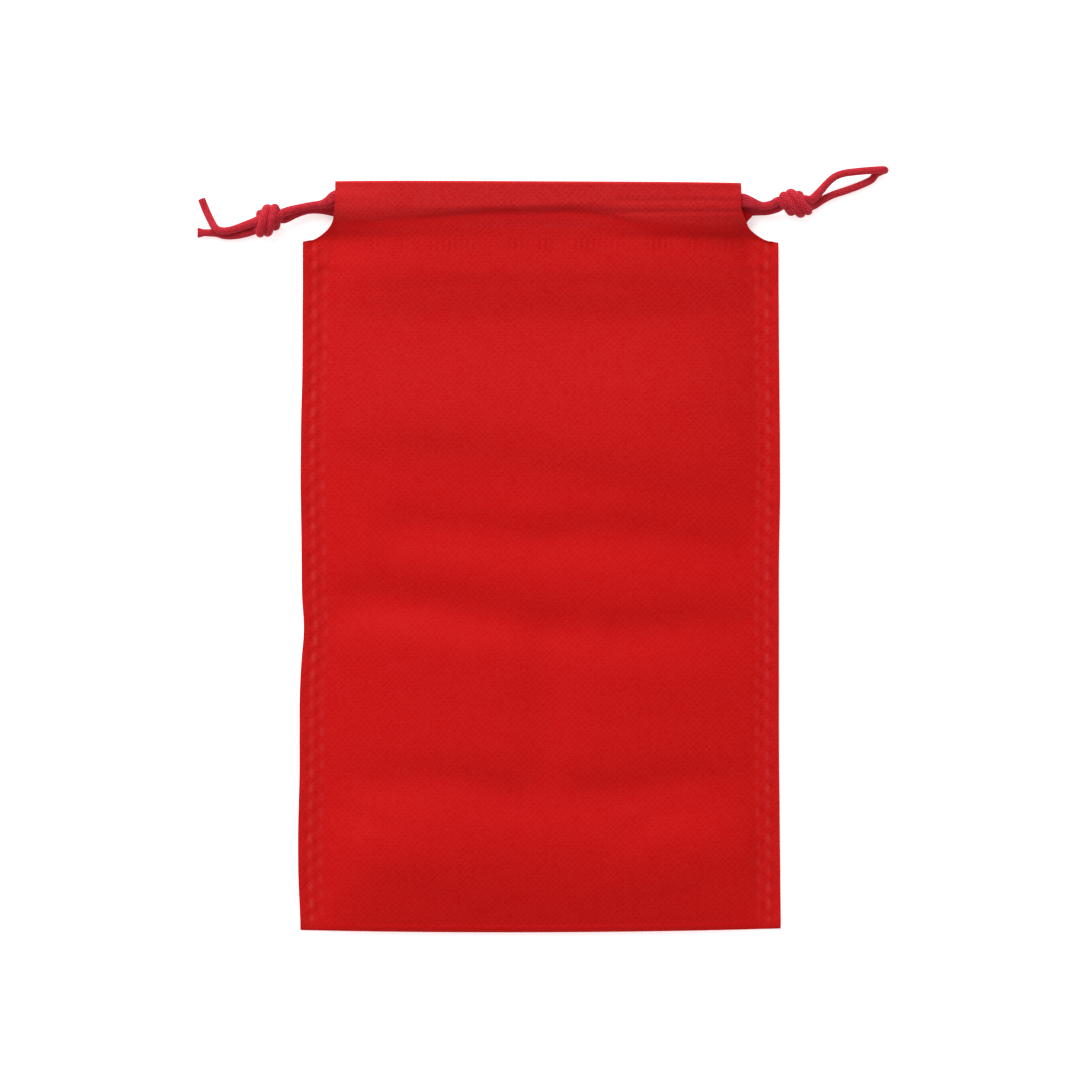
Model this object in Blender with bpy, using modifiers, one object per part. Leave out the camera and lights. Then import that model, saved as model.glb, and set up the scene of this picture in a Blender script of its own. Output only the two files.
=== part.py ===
"""Fabric gift sack with a drawcord, lying on its back.

One sheet of spunbond fabric is folded at the bottom, welded up both sides and turned in
along the mouth to make a front and a back casing. One cord runs through both casings. It is
knotted into a loop at the right, and its two free ends share a knot at the left.

X runs across the sack, +Y from the bottom fold to the mouth, +Z up from the surface that the
sack lies on. The origin is under the middle of the sack, without its free cord ends.
"""
import math

import bpy
import bmesh
import numpy as np
from mathutils import Vector

MM = 0.001

# Driving sizes of the sack, in metres
SACK_WIDTH = 152.4 * MM
SACK_LENGTH = 240.0 * MM
PLY = 0.5 * MM
GAP = 0.3 * MM
MOUTH_GAP = 5.5 * MM

# Side welds, and the quarter-round notches that free the casings' ends
WELD_WIDTH = 6.0 * MM
CASING_WIDTH = 130.0 * MM
SHOULDER_Y = 100.8 * MM
NOTCH_TOP_Y = 108.2 * MM
NOTCH_RADIUS = NOTCH_TOP_Y - SHOULDER_Y

# Casings and the weld below them
CORD_DIAMETER = 2.4 * MM
CORD_PLAY = 0.7 * MM
CASING_HEIGHT = CORD_DIAMETER + CORD_PLAY + 2 * PLY
CASING_FOOT_Y = 101.4 * MM
CASING_FULL_Y = 108.6 * MM
TUNNEL_START = 1.5 * MM
HEM_HEIGHT = 2 * PLY + 0.1 * MM
HEM_WIDTH = 3.5 * MM

# The front arches over the back: by a casing and the open mouth in the middle, less to the sides
FRONT_RISE = CASING_HEIGHT + MOUTH_GAP
SEAM_RISE = PLY + GAP
ARCH_POWER = 2.5
ARCH_STATIONS = [0.0, 0.3, 0.6, 0.8, 1.0]
FOOT_STATIONS = [0.0, 0.12, 0.3, 0.6, 1.0]
FOOT_LENGTH = 50.0 * MM
FOOT_POWER = 2.2
FOOT_START = 0.1
FOLD_RADIUS = 1.1 * MM
FOLD_DEPTH = 2.8 * MM
HINGE_Y = -SACK_LENGTH / 2 + FOLD_DEPTH

# The cord's runs inside the casings
FRONT_RUN_Y = 114.6 * MM
BACK_RUN_Y = 111.2 * MM
BACK_RUN_Z = PLY + CORD_PLAY / 2 + CORD_DIAMETER / 2

# Knots: centre and half sizes
LEFT_KNOT = (Vector((-87.0, 107.8, 5.0)) * MM, Vector((4.3, 5.0, 4.2)) * MM)
RIGHT_KNOT = (Vector((81.6, 113.2, 5.0)) * MM, Vector((4.8, 4.8, 4.2)) * MM)

# Routes of the free cord, in millimetres, each from the sack outwards
LEFT_LEAD_FRONT = [(-65.3, 114.6, 6.45), (-67.3, 114.2, 6.1), (-69.8, 113.3, 5.6), (-73.2, 112.5, 5.1),
                   (-77.4, 111.6, 5.3), (-82.3, 110.0, 6.3)]
LEFT_LEAD_BACK = [(-65.3, 111.2, 2.05), (-67.4, 111.1, 1.95), (-70.4, 111.2, 1.75), (-74.2, 111.1, 1.65),
                  (-78.2, 109.9, 2.1), (-82.3, 108.2, 3.1)]
LEFT_TAIL_UPPER = [(-91.5, 106.3, 3.9), (-95.2, 105.2, 3.2), (-98.6, 104.6, 3.4), (-101.6, 104.3, 4.0),
                   (-103.9, 105.3, 3.7), (-105.7, 108.3, 2.2), (-107.2, 111.5, 1.4), (-108.5, 114.8, 1.35)]
LEFT_TAIL_LOWER = [(-91.3, 103.6, 1.9), (-94.9, 102.7, 1.35), (-97.9, 102.2, 1.25), (-101.0, 102.8, 1.25),
                   (-103.6, 103.7, 1.25), (-106.2, 103.9, 1.35), (-109.8, 103.9, 1.45)]
RIGHT_LEAD_FRONT = [(65.3, 114.6, 6.45), (67.9, 113.5, 5.9), (71.2, 112.6, 5.4), (74.2, 112.9, 5.5),
                    (76.5, 113.9, 6.2)]
RIGHT_LEAD_BACK = [(65.3, 111.2, 2.05), (68.6, 110.8, 1.85), (72.0, 110.7, 1.8), (75.0, 111.4, 2.5),
                   (77.0, 112.3, 3.4)]
RIGHT_LOOP = [(86.8, 114.4, 4.4), (89.6, 117.0, 4.1), (91.7, 119.4, 4.0), (94.2, 121.6, 4.0),
              (97.2, 122.8, 3.9), (101.6, 123.4, 4.0), (106.4, 123.8, 4.2), (109.6, 124.0, 3.9),
              (110.5, 123.9, 2.6), (109.3, 123.3, 1.4), (107.2, 122.1, 1.25), (105.2, 120.6, 1.25),
              (102.3, 119.0, 1.25), (98.5, 117.6, 1.25), (94.0, 116.1, 1.25), (90.4, 114.4, 1.25),
              (87.4, 112.6, 1.8)]

ROUTE_STEP = 2.4 * MM
RED_FABRIC = (0.546, 0.0092, 0.0092, 1.0)
CRIMSON_CORD = (0.456, 0.0103, 0.0273, 1.0)


def remove_everything():
    """Clear the scene's objects."""
    for obj in list(bpy.data.objects):
        bpy.data.objects.remove(obj)


def make_collection(name):
    """A new collection in the scene."""
    collection = bpy.data.collections.new(name)
    bpy.context.scene.collection.children.link(collection)
    return collection


def make_material(name, colour, roughness):
    """A plain Principled material."""
    material = bpy.data.materials.new(name)
    material.use_nodes = True
    shader = material.node_tree.nodes["Principled BSDF"]
    shader.inputs["Base Color"].default_value = colour
    shader.inputs["Roughness"].default_value = roughness
    shader.inputs["Metallic"].default_value = 0.0
    return material


def new_object(name, data, collection, colour, roughness=0.85):
    """An object for one sub-part, with its own material."""
    obj = bpy.data.objects.new(name, data)
    data.materials.append(make_material(name + "_material", colour, roughness))
    collection.objects.link(obj)
    return obj


def mesh_object(name, bm, collection, colour):
    """An object from a bmesh."""
    mesh = bpy.data.meshes.new(name)
    bm.to_mesh(mesh)
    bm.free()
    return new_object(name, mesh, collection, colour)


def add_plate(name, low, high, collection, colour):
    """A flat rectangular plate between two corners."""
    bm = bmesh.new()
    bmesh.ops.create_cube(bm, size=1.0)
    low, high = Vector(low), Vector(high)
    bmesh.ops.scale(bm, vec=high - low, verts=bm.verts)
    obj = mesh_object(name, bm, collection, colour)
    obj.location = (low + high) / 2
    return obj


def add_outline(name, outlines, thickness, collection, colour):
    """A flat curve of closed outlines, filled and given a thickness either side of its plane."""
    curve = bpy.data.curves.new(name, "CURVE")
    curve.dimensions = "2D"
    curve.fill_mode = "BOTH"
    curve.extrude = thickness / 2
    for outline in outlines:
        spline = curve.splines.new("POLY")
        spline.points.add(len(outline) - 1)
        for point, (across, up) in zip(spline.points, outline):
            point.co = (across, up, 0.0, 1.0)
        spline.use_cyclic_u = True
    return new_object(name, curve, collection, colour)


def arc(centre, radius, start_deg, end_deg, steps):
    """Points along an arc in a plane, from one angle to another."""
    points = []
    for step in range(steps + 1):
        angle = math.radians(start_deg + (end_deg - start_deg) * step / steps)
        points.append((centre[0] + radius * math.cos(angle), centre[1] + radius * math.sin(angle)))
    return points


def arch_height(across, half_width, edge, middle):
    """Height of the front's arch at a place across the sack, straight between its stations."""
    heights = [edge + (middle - edge) * (1 - station ** ARCH_POWER) for station in ARCH_STATIONS]
    return float(np.interp(abs(across) / half_width, ARCH_STATIONS, heights))


def mirrored_stations(half_width):
    """The arch's stations across the sack, from left to right."""
    right = [station * half_width for station in ARCH_STATIONS]
    return [-place for place in reversed(right[1:])] + right


def arch_over(obj, half_width):
    """Cut a straight cross-piece at the arch's stations and raise it to the arch of the mouth."""
    bm = bmesh.new()
    evaluated = obj.evaluated_get(bpy.context.evaluated_depsgraph_get())
    mesh = bpy.data.meshes.new_from_object(evaluated)
    bm.from_mesh(mesh)
    bm.transform(obj.matrix_world)
    bmesh.ops.remove_doubles(bm, verts=bm.verts, dist=0.00001)
    for station in mirrored_stations(half_width)[1:-1]:
        geometry = bm.verts[:] + bm.edges[:] + bm.faces[:]
        bmesh.ops.bisect_plane(bm, geom=geometry, plane_co=(station, 0, 0), plane_no=(1, 0, 0), dist=1e-6)
    for vert in bm.verts:
        vert.co.z += CASING_HEIGHT + arch_height(vert.co.x, half_width, GAP, MOUTH_GAP)
    bm.to_mesh(mesh)
    bm.free()
    arched = bpy.data.objects.new(obj.name, mesh)
    obj.users_collection[0].objects.link(arched)
    name = obj.name
    bpy.data.objects.remove(obj)
    arched.name = name
    return arched


def smooth_route(points_mm, step):
    """Evenly spaced points on a Catmull-Rom curve through a route's own points."""
    points = [Vector(point) * MM for point in points_mm]
    ends = [2 * points[0] - points[1]] + points + [2 * points[-1] - points[-2]]
    fine = []
    for before, start, end, after in zip(ends, ends[1:], ends[2:], ends[3:]):
        for index in range(24):
            t = index / 24
            fine.append(0.5 * (2 * start + (end - before) * t
                               + (2 * before - 5 * start + 4 * end - after) * t ** 2
                               + (3 * start - before - 3 * end + after) * t ** 3))
    fine.append(points[-1])
    lengths = [0.0]
    for start, end in zip(fine, fine[1:]):
        lengths.append(lengths[-1] + (end - start).length)
    count = max(2, round(lengths[-1] / step))
    route, position = [], 0
    for index in range(count + 1):
        wanted = lengths[-1] * index / count
        while position < len(lengths) - 2 and lengths[position + 1] < wanted:
            position += 1
        span = lengths[position + 1] - lengths[position]
        route.append(fine[position].lerp(fine[position + 1], (wanted - lengths[position]) / span))
    return route


def add_cord(name, route, collection):
    """A closed tube of the cord's diameter along a route in metres."""
    curve = bpy.data.curves.new(name, "CURVE")
    curve.dimensions = "3D"
    curve.bevel_depth = CORD_DIAMETER / 2
    curve.bevel_resolution = 2
    curve.use_fill_caps = True
    spline = curve.splines.new("POLY")
    spline.points.add(len(route) - 1)
    for point, place in zip(spline.points, route):
        point.co = (*place, 1.0)
    return new_object(name, curve, collection, CRIMSON_CORD)


def add_knot(name, centre, half_sizes, collection):
    """The outer shape of a pulled-tight overhand knot in two strands."""
    bm = bmesh.new()
    bmesh.ops.create_uvsphere(bm, u_segments=14, v_segments=9, radius=1.0)
    bmesh.ops.scale(bm, vec=half_sizes, verts=bm.verts)
    obj = mesh_object(name, bm, collection, CRIMSON_CORD)
    obj.location = centre
    obj.data.shade_smooth()
    return obj


def add_back_panel(collection):
    """The flat back of the sack, on the surface."""
    half = SACK_WIDTH / 2 - WELD_WIDTH - GAP
    low = (-half, HINGE_Y, 0.0)
    high = (half, CASING_FOOT_Y - HEM_WIDTH - 2 * GAP, PLY)
    return add_plate("back_panel", low, high, collection, RED_FABRIC)


def add_front_panel(collection):
    """The front of the sack: arched across, and coming down to the side welds and the bottom fold."""
    half = SACK_WIDTH / 2 - WELD_WIDTH - GAP
    head = CASING_FOOT_Y - HEM_WIDTH - 2 * GAP
    columns = mirrored_stations(half)
    rows = [HINGE_Y + station * FOOT_LENGTH for station in FOOT_STATIONS] + [head]
    bm = bmesh.new()
    bmesh.ops.create_grid(bm, x_segments=len(columns) - 1, y_segments=len(rows) - 1, size=1.0)
    for vert in bm.verts:
        across = columns[round((vert.co.x + 1) / 2 * (len(columns) - 1))]
        along = rows[round((vert.co.y + 1) / 2 * (len(rows) - 1))]
        fold_share = 1 - min(1.0, (along - HINGE_Y) / FOOT_LENGTH)
        fullness = FOOT_START + (1 - FOOT_START) * (1 - fold_share ** FOOT_POWER)
        middle = SEAM_RISE + (FRONT_RISE - SEAM_RISE) * fullness
        vert.co = (across, along - HINGE_Y, arch_height(across, half, SEAM_RISE, middle))
    obj = mesh_object("front_panel", bm, collection, RED_FABRIC)
    obj.location = (0.0, HINGE_Y, 0.0)
    shell = obj.modifiers.new("ply", "SOLIDIFY")
    shell.thickness = PLY
    shell.offset = 1.0
    return obj


def add_bottom_fold(collection):
    """The rounded fold that joins the back to the front along the bottom."""
    centre = (-SACK_LENGTH / 2 + FOLD_RADIUS, FOLD_RADIUS)
    lip = HINGE_Y - GAP
    outline = [(lip, 0.0)] + arc(centre, FOLD_RADIUS, 270, 90, 10)
    outline += arc(centre, FOLD_RADIUS - PLY, 90, 270, 10) + [(lip, PLY)]
    obj = add_outline("bottom_fold", [outline], SACK_WIDTH, collection, RED_FABRIC)
    obj.rotation_euler = (math.radians(90), 0.0, math.radians(90))
    return obj


def add_side_weld(name, side, collection):
    """One welded side edge, rising into the quarter-round notch beside the casing's end.

    side is -1 for the left weld and 1 for the right one.
    """
    outer = SACK_WIDTH / 2
    inner = outer - WELD_WIDTH
    notch_x = CASING_WIDTH / 2 + GAP
    neck = CASING_FOOT_Y - HEM_WIDTH - GAP
    centre = (notch_x + NOTCH_RADIUS, NOTCH_TOP_Y)
    outline = [(outer, HINGE_Y), (outer, SHOULDER_Y)] + arc(centre, NOTCH_RADIUS, 270, 180, 10)
    outline += [(notch_x, neck), (inner, neck), (inner, HINGE_Y)]
    outline = [(side * across, up) for across, up in outline]
    obj = add_outline(name, [outline], PLY, collection, RED_FABRIC)
    obj.location = (0.0, 0.0, PLY / 2)
    return obj


def add_casing(name, collection):
    """A casing: the mouth edge turned in to make a flat tunnel, open at both ends."""
    top_radius = CASING_HEIGHT / 2
    centre = (SACK_LENGTH / 2 - top_radius, top_radius)
    outer = [(CASING_FOOT_Y, 0.0)] + arc(centre, top_radius, -90, 90, 12)
    outer += [(CASING_FULL_Y, CASING_HEIGHT), (CASING_FOOT_Y, HEM_HEIGHT)]
    inner_top = arc(centre, top_radius - PLY, -90, 90, 12)
    tunnel = [(CASING_FOOT_Y + TUNNEL_START, PLY)] + inner_top + [(CASING_FULL_Y, CASING_HEIGHT - PLY)]
    obj = add_outline(name, [outer, tunnel], CASING_WIDTH, collection, RED_FABRIC)
    obj.rotation_euler = (math.radians(90), 0.0, math.radians(90))
    return obj


def add_hem_weld(name, collection):
    """The welded strip that closes a casing along its lower edge."""
    high_y = CASING_FOOT_Y - GAP
    low = (-CASING_WIDTH / 2, high_y - HEM_WIDTH, 0.0)
    high = (CASING_WIDTH / 2, high_y, HEM_HEIGHT)
    return add_plate(name, low, high, collection, RED_FABRIC)


def add_mouth_edges(collection):
    """Both casings and their hem welds: the back pair flat, the front pair arched over it."""
    add_casing("back_casing", collection)
    add_hem_weld("back_hem_weld", collection)
    front_pair = [add_casing("front_casing", collection), add_hem_weld("front_hem_weld", collection)]
    bpy.context.view_layer.update()
    for obj in front_pair:
        arch_over(obj, CASING_WIDTH / 2)


def add_cord_runs(collection):
    """The cord's two runs inside the casings."""
    reach = CASING_WIDTH / 2 - GAP
    add_cord("back_cord_run", [(-reach, BACK_RUN_Y, BACK_RUN_Z), (reach, BACK_RUN_Y, BACK_RUN_Z)], collection)
    front_run = []
    for across in mirrored_stations(reach):
        mouth = arch_height(across, CASING_WIDTH / 2, GAP, MOUTH_GAP)
        front_run.append((across, FRONT_RUN_Y, BACK_RUN_Z + CASING_HEIGHT + mouth))
    add_cord("front_cord_run", front_run, collection)


def add_free_cord(collection):
    """The leads, knots, tails and pull loop outside the sack."""
    stretches = {
        "left_lead_front": LEFT_LEAD_FRONT, "left_lead_back": LEFT_LEAD_BACK,
        "left_tail_upper": LEFT_TAIL_UPPER, "left_tail_lower": LEFT_TAIL_LOWER,
        "right_lead_front": RIGHT_LEAD_FRONT, "right_lead_back": RIGHT_LEAD_BACK,
        "right_loop": RIGHT_LOOP,
    }
    for name, route in stretches.items():
        add_cord(name, smooth_route(route, ROUTE_STEP), collection)
    add_knot("left_knot", *LEFT_KNOT, collection)
    add_knot("right_knot", *RIGHT_KNOT, collection)


def main():
    """Build every sub-part."""
    remove_everything()
    sack = make_collection("fabric_gift_sack")
    add_back_panel(sack)
    add_front_panel(sack)
    add_bottom_fold(sack)
    add_side_weld("left_side_weld", -1, sack)
    add_side_weld("right_side_weld", 1, sack)
    add_mouth_edges(sack)
    add_cord_runs(sack)
    add_free_cord(sack)


main()
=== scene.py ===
"""Looks of a fabric gift sack with a drawcord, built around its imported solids.

The sack is one folded sheet of embossed spunbond fabric, welded at its sides, with one braided
cord through the two casings along its mouth. Lengths in this script are in millimetres and
become metres where a mesh is made, because the frame is in metres.
"""

import logging
import math
from collections.abc import Callable
from dataclasses import dataclass, field
from enum import Enum

import bmesh
import bpy
import numpy as np
from mathutils import Matrix, Vector, noise


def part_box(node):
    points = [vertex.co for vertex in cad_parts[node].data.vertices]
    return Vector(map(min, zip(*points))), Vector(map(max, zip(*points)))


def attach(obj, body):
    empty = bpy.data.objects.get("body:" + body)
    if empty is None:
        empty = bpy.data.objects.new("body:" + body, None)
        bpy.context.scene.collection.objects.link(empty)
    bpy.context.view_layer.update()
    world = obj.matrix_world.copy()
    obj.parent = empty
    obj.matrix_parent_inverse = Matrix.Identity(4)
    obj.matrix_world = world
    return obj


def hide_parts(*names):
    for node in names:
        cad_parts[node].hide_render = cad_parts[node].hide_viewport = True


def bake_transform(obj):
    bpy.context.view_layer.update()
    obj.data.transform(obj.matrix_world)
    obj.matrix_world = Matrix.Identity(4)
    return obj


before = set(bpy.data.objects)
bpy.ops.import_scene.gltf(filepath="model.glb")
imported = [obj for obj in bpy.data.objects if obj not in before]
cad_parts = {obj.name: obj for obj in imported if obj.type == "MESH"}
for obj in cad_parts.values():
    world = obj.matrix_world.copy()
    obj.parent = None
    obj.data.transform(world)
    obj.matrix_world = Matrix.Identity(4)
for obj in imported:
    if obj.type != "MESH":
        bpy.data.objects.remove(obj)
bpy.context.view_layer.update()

LOG = logging.getLogger("gift_sack")
MM = 0.001
FREE_HALF = 70.0  # half the width over which the front lifts off the back


class Body(Enum):
    """The rigid bodies that pieces ride on."""

    BACK = "sack_back"
    FRONT = "sack_front"
    CORD = "drawcord"
    FRONT_RUN = "drawcord_front_run"


class Slot(Enum):
    """The record's material slots."""

    FABRIC = "red_fabric"
    CORD = "crimson_cord"


class Direction(Enum):
    """Which way a crease runs over the sack."""

    ACROSS = "across"
    ALONG = "along"


class Face(Enum):
    """What a row of the sheet follows, where its height isn't a plain number."""

    STACK = "back's upper face"
    FRONT = "front's outer face"
    UNDER = "front's lower face"
    FOLD = "bottom fold"
    LIP = "front's lip"


# ---- shader maths


class Term:
    """A number socket of a shader that takes part in ordinary arithmetic."""

    def __init__(self, shader: "Shader", socket: bpy.types.NodeSocket) -> None:
        """Wrap an output socket of a shader that gives a number."""
        self.shader = shader
        self.socket = socket

    def math(self, operation: str, *others: "Term | float") -> "Term":
        """Put this term first into a Math node.

        Args:
            operation: The Math node's operation.
            others: The node's other operands.

        Returns:
            The node's result.
        """
        inputs = dict(enumerate((self, *others)))
        node = self.shader.node("ShaderNodeMath", {"operation": operation}, inputs)
        return Term(self.shader, node.outputs[0])

    def reflected(self, operation: str, first: float) -> "Term":
        """Put this term second into a Math node, after a number."""
        node = self.shader.node("ShaderNodeMath", {"operation": operation}, {0: first, 1: self})
        return Term(self.shader, node.outputs[0])

    def __add__(self, other: "Term | float") -> "Term":
        """This term plus another."""
        return self.math("ADD", other)

    def __radd__(self, other: float) -> "Term":
        """A number plus this term."""
        return self.reflected("ADD", other)

    def __sub__(self, other: "Term | float") -> "Term":
        """This term minus another."""
        return self.math("SUBTRACT", other)

    def __rsub__(self, other: float) -> "Term":
        """A number minus this term."""
        return self.reflected("SUBTRACT", other)

    def __mul__(self, other: "Term | float") -> "Term":
        """This term times another."""
        return self.math("MULTIPLY", other)

    def __rmul__(self, other: float) -> "Term":
        """A number times this term."""
        return self.reflected("MULTIPLY", other)

    def step(self, low: float, high: float) -> "Term":
        """A smooth step from 0 at low to 1 at high."""
        settings = {"interpolation_type": "SMOOTHSTEP"}
        inputs = {"Value": self, "From Min": low, "From Max": high}
        return Term(self.shader, self.shader.node("ShaderNodeMapRange", settings, inputs).outputs[0])


class Shader:
    """A material with one Principled shader, built node by node."""

    def __init__(self, name: str) -> None:
        """Start a material under a name."""
        self.material = bpy.data.materials.new(name)
        self.material.use_nodes = True
        self.tree = self.material.node_tree
        self.principled = self.tree.nodes["Principled BSDF"]

    def node(self, kind: str, settings: dict | None = None,
             inputs: dict | None = None) -> bpy.types.Node:
        """Add a node.

        Args:
            kind: The node's type.
            settings: Attributes to set before its sockets are used.
            inputs: Socket name or number to a value, a Term or an output socket.

        Returns:
            The node.
        """
        node = self.tree.nodes.new(kind)
        for name, value in (settings or {}).items():
            setattr(node, name, value)
        for name, value in (inputs or {}).items():
            self.feed(node.inputs[name], value)
        return node

    def feed(self, socket: bpy.types.NodeSocket, value: object) -> None:
        """Link or set one input socket."""
        if isinstance(value, Term):
            value = value.socket
        if isinstance(value, bpy.types.NodeSocket):
            self.tree.links.new(value, socket)
        else:
            socket.default_value = value

    def surface(self, **inputs: object) -> None:
        """Set sockets of the Principled shader, underscores standing for spaces."""
        for name, value in inputs.items():
            self.feed(self.principled.inputs[name.replace("_", " ")], value)

    def attribute(self, name: str) -> Term:
        """A number that the mesh carries at each point."""
        node = self.node("ShaderNodeAttribute", {"attribute_type": "GEOMETRY", "attribute_name": name})
        return Term(self, node.outputs["Fac"])

    def grain(self, place: bpy.types.NodeSocket, scale: float, detail: float = 2.0) -> Term:
        """Soft noise at a place.

        Args:
            place: The coordinates to read.
            scale: Cycles to a unit of the coordinates.
            detail: Octaves of finer noise.

        Returns:
            The noise, about 0 to 1.
        """
        node = self.node("ShaderNodeTexNoise", None, {"Vector": place, "Scale": scale, "Detail": detail})
        return Term(self, node.outputs[0])

    def mapped(self, place: bpy.types.NodeSocket, turn: float, scale: tuple) -> bpy.types.NodeSocket:
        """Coordinates turned about Z and scaled."""
        inputs = {"Vector": place, "Rotation": (0.0, 0.0, turn), "Scale": scale}
        return self.node("ShaderNodeMapping", {"vector_type": "TEXTURE"}, inputs).outputs[0]

    def mix(self, share: Term, first: tuple | bpy.types.NodeSocket,
            second: tuple | bpy.types.NodeSocket) -> bpy.types.NodeSocket:
        """A colour between two others."""
        node = self.node("ShaderNodeMix", {"data_type": "RGBA"}, {"Factor": share})
        self.feed(node.inputs[6], first)
        self.feed(node.inputs[7], second)
        return node.outputs[2]

    def bump(self, height: Term, distance: float) -> bpy.types.NodeSocket:
        """A normal from a height, whose full range stands distance metres proud."""
        inputs = {"Height": height, "Distance": distance, "Strength": 1.0}
        return self.node("ShaderNodeBump", None, inputs).outputs[0]


# ---- finishes


@dataclass(frozen=True)
class SpunbondFinish:
    """Spunbond fabric: matt fibres, bonded by a diagonal grid of pressed pins.

    The sheet's attributes rise to 1 where it is marked: "weld" where it is pressed and fused dark,
    and along the casing's valley as painted shade; "haze" where its plies lie doubled, and as painted
    sheen on the side margins, the upper panel and the casing; and "glint" as painted highlights on
    the side welds' dashes.
    """

    name: str = "red_spunbond"
    colour: tuple = (0.430, 0.0014, 0.0014, 1.0)
    deep: tuple = (0.412, 0.0004, 0.0006, 1.0)
    # The paler, whiter flecks of the fibre tone are painted glints.
    mottle_and_highlight: tuple = (0.436, 0.0060, 0.0056, 1.0)
    # Colours of the plies' veil: a paler red, partly for the doubled plies and partly painted sheen,
    # with painted glints in it.
    plies_and_sheen_colour: tuple = (0.370, 0.0028, 0.0048, 1.0)
    plies_and_sheen_glint: tuple = (0.390, 0.0175, 0.0200, 1.0)
    # The welds' own dark fused colour, also used for the painted shade along the casing's valley.
    fused: tuple = (0.372, 0.0004, 0.0006, 1.0)
    # Paler, whiter colour of the painted highlights along the side welds' dashes.
    pale: tuple = (0.440, 0.0240, 0.0245, 1.0)
    pin_pitch: float = 1.45 * MM
    pin_depth: float = 0.05 * MM
    fibre_turn: float = 0.5
    fibre_size: tuple = (0.32 * MM, 0.704 * MM, 1.0)
    web_turn: float = -0.9
    web_size: tuple = (0.8 * MM, 1.7 * MM, 1.0)
    cloud_scale: float = 150.0

    def material(self) -> bpy.types.Material:
        """Make the material."""
        shader = Shader(self.name)
        cloth = shader.node("ShaderNodeUVMap", {"uv_map": "cloth"}).outputs[0]
        grid = shader.mapped(cloth, math.radians(45), (self.pin_pitch, self.pin_pitch, 1.0))
        split = shader.node("ShaderNodeSeparateXYZ", None, {0: grid})
        across, along = (Term(shader, split.outputs[axis]) for axis in (0, 1))
        waves = (across * math.tau).math("COSINE") + (along * math.tau).math("COSINE")
        pins = waves.step(0.0, 1.7)
        fibres = shader.grain(shader.mapped(cloth, self.fibre_turn, self.fibre_size), 1.0, 3.0)
        webs = shader.grain(shader.mapped(cloth, self.web_turn, self.web_size), 1.0)
        clouds = shader.grain(cloth, self.cloud_scale)
        weld, plies_and_sheen, glint = (shader.attribute(label) for label in ("weld", "plies_and_sheen", "glint"))
        pressed = pins * (0.45 + 0.55 * webs.step(0.38, 0.62))
        tone = 0.50 * fibres + 0.38 * webs + 0.12 * clouds - 0.11 * pressed
        # Where the fibre tone runs high, the colour turns whiter: painted glints among the fibres.
        lit = shader.mix(tone.step(0.36, 0.58), self.colour, self.mottle_and_highlight)
        shaded = shader.mix(1.0 - tone.step(0.22, 0.46), lit, self.deep)
        # Weld marks and the painted shade along the casing's valley both darken towards the fused
        # colour.
        dimmed = shader.mix(weld * 0.65, shaded, self.fused)
        # The paler veil: doubled plies, and painted sheen on the side margins, the upper panel and the
        # casing.
        veil = shader.mix(tone.step(0.32, 0.58), self.plies_and_sheen_colour, self.plies_and_sheen_glint)
        veiled = shader.mix(plies_and_sheen * (0.70 + 0.30 * fibres), dimmed, veil)
        # Painted highlights along the side welds' dashes turn the colour pale.
        shader.surface(
            Base_Color=shader.mix(glint * (0.35 + 0.65 * fibres), veiled, self.pale),
            Roughness=0.66 - 0.12 * pressed - 0.16 * weld,
            Specular_IOR_Level=0.06,
            Normal=shader.bump(0.30 * fibres + 0.22 * webs - 0.65 * pressed, self.pin_depth),
        )
        return shader.material


@dataclass(frozen=True)
class BraidFinish:
    """Braided cord: small diamonds of matt yarn."""

    name: str = "crimson_braid"
    # Colours of the yarn: its own mottling, with painted highlight on the raised diamonds and painted
    # shade in the grooves between them.
    colour: tuple = (0.372, 0.0052, 0.0130, 1.0)
    deep: tuple = (0.260, 0.0015, 0.0060, 1.0)
    mottle_and_highlight: tuple = (0.430, 0.0240, 0.0370, 1.0)
    fuzz: tuple = (0.75, 0.05, 0.10, 1.0)
    carriers: int = 5
    lay_length: float = 2.6 * MM
    depth: float = 0.13 * MM
    sheen: float = 0.35
    yarn_scale: float = 1500.0
    cloud_scale: float = 420.0

    def material(self) -> bpy.types.Material:
        """Make the material."""
        shader = Shader(self.name)
        cord = shader.node("ShaderNodeUVMap", {"uv_map": "cord"}).outputs[0]
        split = shader.node("ShaderNodeSeparateXYZ", None, {0: cord})
        around = Term(shader, split.outputs[0]) * (math.tau * self.carriers)
        along = Term(shader, split.outputs[1]) * (math.tau / self.lay_length)
        weave = (around + along).math("SINE") * (around - along).math("SINE")
        diamonds = weave.math("ABSOLUTE").math("SQRT")
        place = shader.node("ShaderNodeTexCoord").outputs["Object"]
        yarn = shader.grain(place, self.yarn_scale, 3.0)
        clouds = shader.grain(place, self.cloud_scale)
        raised = diamonds.step(0.0, 0.85)
        # The raised diamonds lift the tone and the grooves lower it: painted highlight and painted
        # shade, added to the yarn's own mottling.
        tone = 0.30 * raised + 0.50 * yarn + 0.16 * clouds
        lit = shader.mix(tone.step(0.47, 0.66), self.colour, self.mottle_and_highlight)
        shader.surface(
            Base_Color=shader.mix(1.0 - tone.step(0.30, 0.50), lit, self.deep),
            Roughness=0.60 + 0.2 * yarn,
            Specular_IOR_Level=0.10,
            Sheen_Weight=self.sheen,
            Sheen_Roughness=0.5,
            Sheen_Tint=self.fuzz,
            Normal=shader.bump(0.55 * raised + 0.8 * yarn, self.depth),
        )
        return shader.material


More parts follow.
